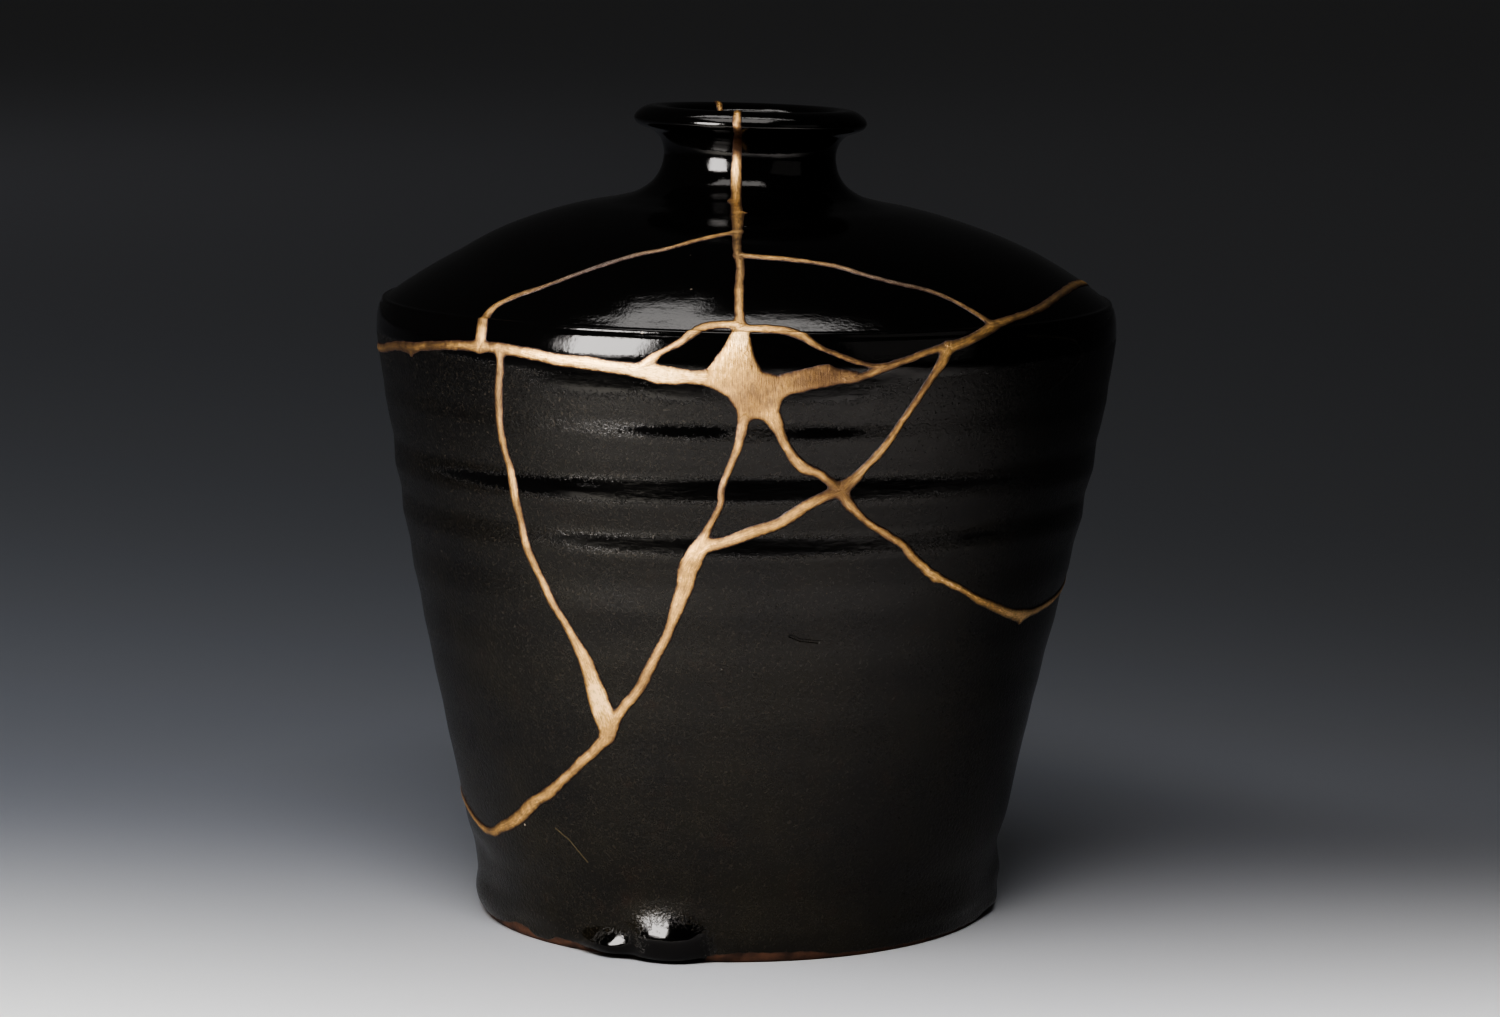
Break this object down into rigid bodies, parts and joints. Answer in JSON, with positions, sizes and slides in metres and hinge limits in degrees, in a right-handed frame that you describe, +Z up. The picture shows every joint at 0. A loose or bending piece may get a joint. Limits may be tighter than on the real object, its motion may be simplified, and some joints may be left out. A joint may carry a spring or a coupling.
{
  "type": "kintsugi jar",
  "caption": "Broad-shouldered thrown stoneware jar with a black glaze, a short neck and a rolled lip, its breaks and one lost chip mended with lacquer and gold.",
  "frame": {"origin": "the middle of the flat foot, on the surface the jar stands on", "axes": "+Z up through the mouth; -Y is the front, with the star-shaped gold fill; +X is to the right seen from the front"},
  "size_m": [0.2478, 0.2482, 0.271],
  "materials": {
    "black_glaze": "glossy black stoneware glaze, with a bare reddish-brown clay line at the foot",
    "gold_lacquer": "satin gold powder brushed over lacquer, with thin red-brown lacquer edges"
  },
  "bodies": {
    "root": {"jar": "black_glaze", "gold_seams": "gold_lacquer"}
  },
  "joints": []
}
